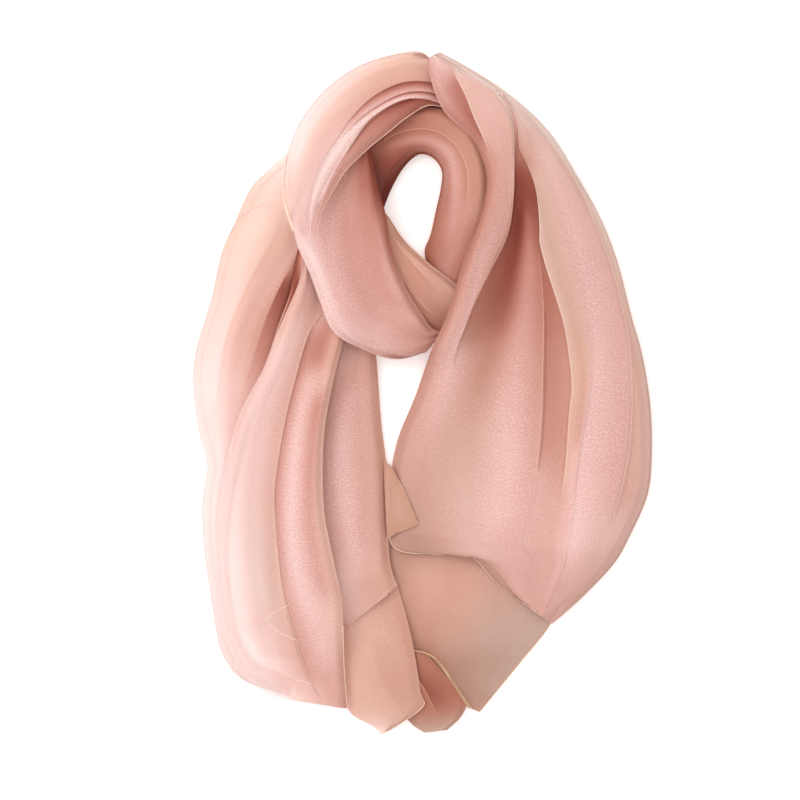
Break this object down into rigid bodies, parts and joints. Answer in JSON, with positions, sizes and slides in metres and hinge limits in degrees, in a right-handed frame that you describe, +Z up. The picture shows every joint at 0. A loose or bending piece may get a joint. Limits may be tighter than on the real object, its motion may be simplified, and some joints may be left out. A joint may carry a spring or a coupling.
{
  "type": "scarf",
  "caption": "Sheer blush organza scarf looped once round a neck opening, with two soft rolled tails, laid flat",
  "frame": {"origin": "on the surface it lies on, under the middle of the laid scarf", "axes": "+X to the right and +Y towards the top of the loop, seen from above; +Z up off the surface"},
  "size_m": [0.458, 0.6809, 0.0656],
  "materials": {
    "blush_organza": "sheer, with a soft sheen",
    "peach_organza": "very sheer, with a soft sheen",
    "rose_organza": "sheer, several layers deep"
  },
  "bodies": {
    "root": {"under_layers": "rose_organza", "left_sheer": "peach_organza", "left_tail": "blush_organza", "left_front_fold": "blush_organza", "left_end": "peach_organza", "inner_ring": "rose_organza", "loop_underside": "peach_organza", "loop_front": "blush_organza", "loop_top": "blush_organza", "right_tail": "blush_organza", "right_end": "peach_organza", "corner_flap": "peach_organza", "bottom_fold": "rose_organza"}
  },
  "joints": []
}
